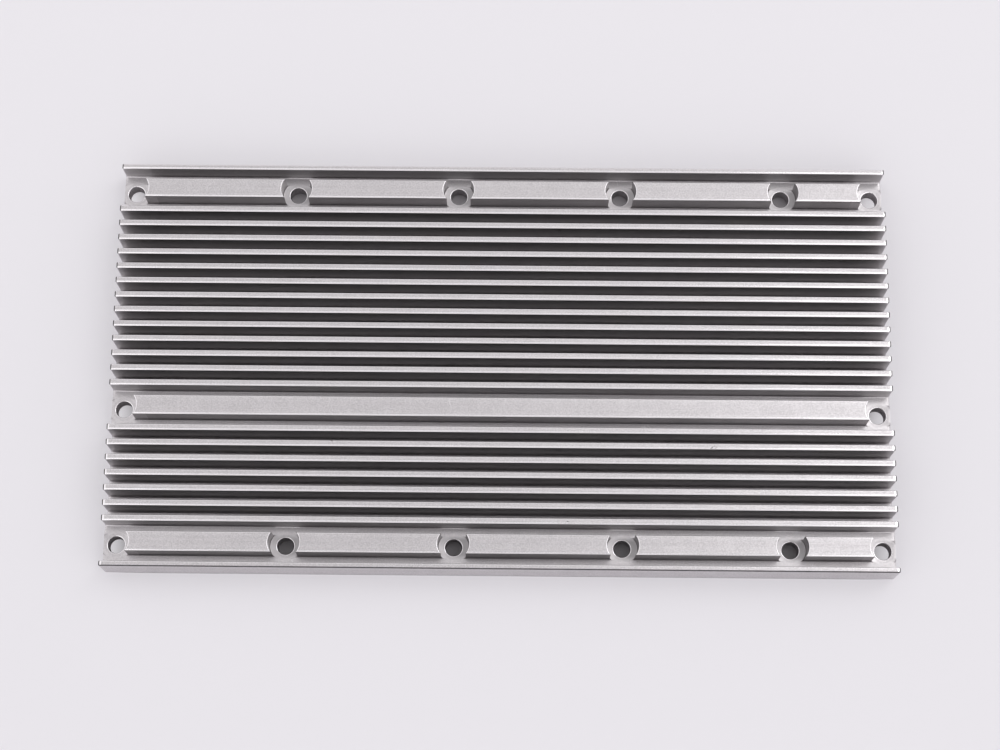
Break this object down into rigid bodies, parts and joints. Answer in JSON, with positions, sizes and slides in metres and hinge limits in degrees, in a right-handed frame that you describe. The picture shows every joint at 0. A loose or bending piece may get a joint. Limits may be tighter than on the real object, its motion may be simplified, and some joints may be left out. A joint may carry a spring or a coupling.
{
  "type": "extruded heat sink",
  "caption": "Low rectangular aluminium heat sink with long straight fins, rails along its edges, and counterbored screw holes through the raised strips of its ledges.",
  "frame": {"origin": "under the middle of the flat underside", "axes": "+X along the fins, +Y from the front rail to the rear rail, +Z out of the fins' side"},
  "size_m": [0.15, 0.0802, 0.0075],
  "materials": {
    "anodised_aluminium": "clear satin anodised over a fine bead-blasted surface"
  },
  "bodies": {
    "root": {"heat_sink": "anodised_aluminium"}
  },
  "joints": []
}
